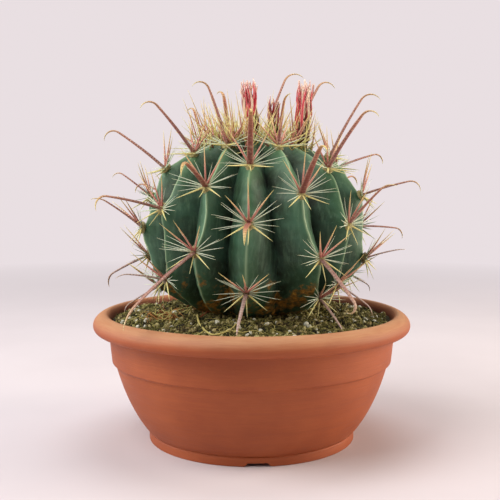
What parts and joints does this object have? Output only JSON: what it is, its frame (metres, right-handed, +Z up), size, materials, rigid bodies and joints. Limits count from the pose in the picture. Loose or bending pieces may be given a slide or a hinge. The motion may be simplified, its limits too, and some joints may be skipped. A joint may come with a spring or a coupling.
{
  "type": "potted barrel cactus",
  "caption": "Round ribbed barrel cactus with hooked spines and withered red blooms, growing in mossy soil in a wide terracotta-coloured bowl with a rolled rim.",
  "frame": {"origin": "centre of the bowl's foot, on the surface it stands on", "axes": "+Z up along the bowl's axis; -Y is the front shown; +X to the right seen from the front"},
  "size_m": [0.2533, 0.2764, 0.2942],
  "materials": {
    "bowl": "matte terracotta-coloured moulding with fine turned lines",
    "soil": "loose peat with moss and perlite",
    "stem": "blue-green waxy skin",
    "spines": "hard ringed spines, red-brown with yellow tips, and cream felt pads",
    "tuft": "cream wool with young yellow spines",
    "bloom": "dry papery crimson tepals",
    "root": "dry fibrous root"
  },
  "bodies": {
    "root": {"cactus_stem": "stem", "crown_tuft": "tuft", "pot_bowl": "bowl", "potting_soil": "soil", "spines_rib01_areole1": "spines", "spines_rib01_areole2": "spines", "spines_rib01_areole3": "spines", "spines_rib02_areole1": "spines", "spines_rib02_areole2": "spines", "spines_rib03_areole1": "spines", "spines_rib03_areole2": "spines", "spines_rib03_areole3": "spines", "spines_rib04_areole1": "spines", "spines_rib04_areole2": "spines", "spines_rib04_areole3": "spines", "spines_rib05_areole1": "spines", "spines_rib05_areole2": "spines", "spines_rib05_areole3": "spines", "spines_rib06_areole1": "spines", "spines_rib06_areole2": "spines", "spines_rib06_areole3": "spines", "spines_rib07_areole1": "spines", "spines_rib07_areole2": "spines", "spines_rib07_areole3": "spines", "spines_rib07_areole4": "spines", "spines_rib08_areole1": "spines", "spines_rib08_areole2": "spines", "spines_rib08_areole3": "spines", "spines_rib09_areole1": "spines", "spines_rib09_areole2": "spines", "spines_rib09_areole3": "spines", "spines_rib10_areole1": "spines", "spines_rib10_areole2": "spines", "spines_rib10_areole3": "spines", "spines_rib11_areole1": "spines", "spines_rib11_areole2": "spines", "spines_rib11_areole3": "spines", "spines_rib12_areole1": "spines", "spines_rib12_areole2": "spines", "spines_rib12_areole3": "spines", "spines_rib12_areole4": "spines", "spines_rib13_areole1": "spines", "spines_rib13_areole2": "spines", "spines_rib13_areole3": "spines", "surface_root": "root", "withered_bloom_left": "bloom", "withered_bloom_middle": "bloom", "withered_bloom_right": "bloom"}
  },
  "joints": []
}
